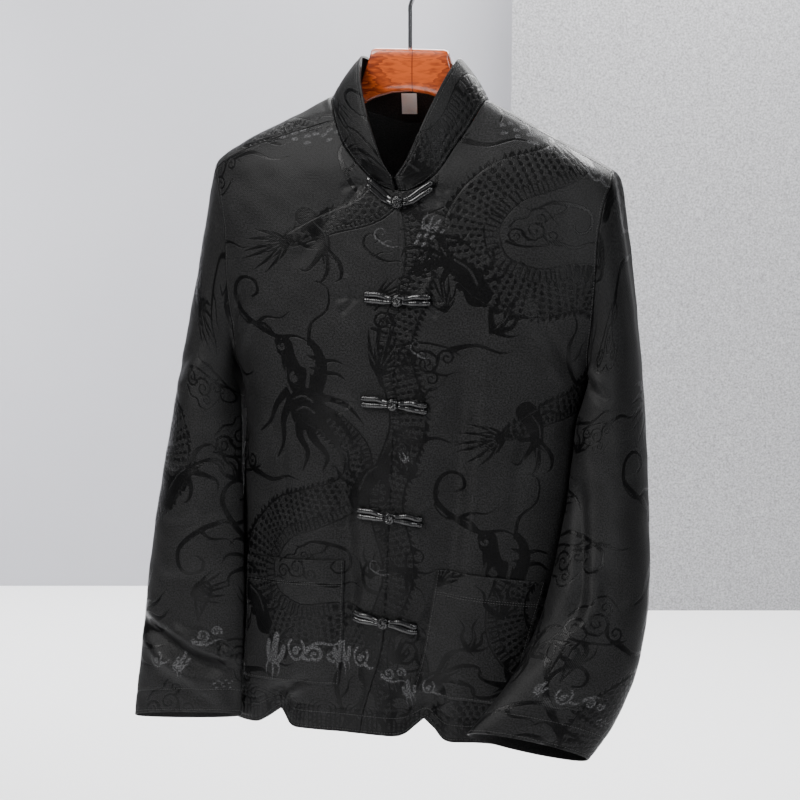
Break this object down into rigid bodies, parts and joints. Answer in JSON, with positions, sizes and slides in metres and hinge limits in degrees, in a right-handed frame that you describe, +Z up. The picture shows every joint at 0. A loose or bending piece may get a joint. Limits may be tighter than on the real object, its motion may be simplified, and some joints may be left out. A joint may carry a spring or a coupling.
{
  "type": "tang suit jacket on wooden hanger",
  "caption": "Satin stand-collar jacket with knotted cord frogs, patch pockets and long sleeves, filled out on a wooden hanger with a metal hook.",
  "frame": {"origin": "inner top of the hanger's hook, where a rail holds it", "axes": "+Z up along the hook's shank, -Y out of the front of the jacket, +X towards the wearer's left"},
  "size_m": [0.617, 0.3283, 0.9161],
  "materials": {
    "satin": "black jacquard satin",
    "frog_cord": "glossy black satin cord",
    "label_cloth": "bare white woven tape",
    "wood": "glossy orange-red figured lacquered wood",
    "chrome": "polished"
  },
  "bodies": {
    "root": {"front_right": "satin", "front_left": "satin", "back": "satin", "sleeve_right": "satin", "sleeve_left": "satin", "collar": "satin", "pocket_right": "satin", "pocket_left": "satin", "frog_1_right": "frog_cord", "frog_1_left": "frog_cord", "frog_1_knot": "frog_cord", "frog_2_right": "frog_cord", "frog_2_left": "frog_cord", "frog_2_knot": "frog_cord", "frog_3_right": "frog_cord", "frog_3_left": "frog_cord", "frog_3_knot": "frog_cord", "frog_4_right": "frog_cord", "frog_4_left": "frog_cord", "frog_4_knot": "frog_cord", "frog_5_right": "frog_cord", "frog_5_left": "frog_cord", "frog_5_knot": "frog_cord", "neck_label": "label_cloth", "hanger_body": "wood", "hanger_hook": "chrome"}
  },
  "joints": []
}
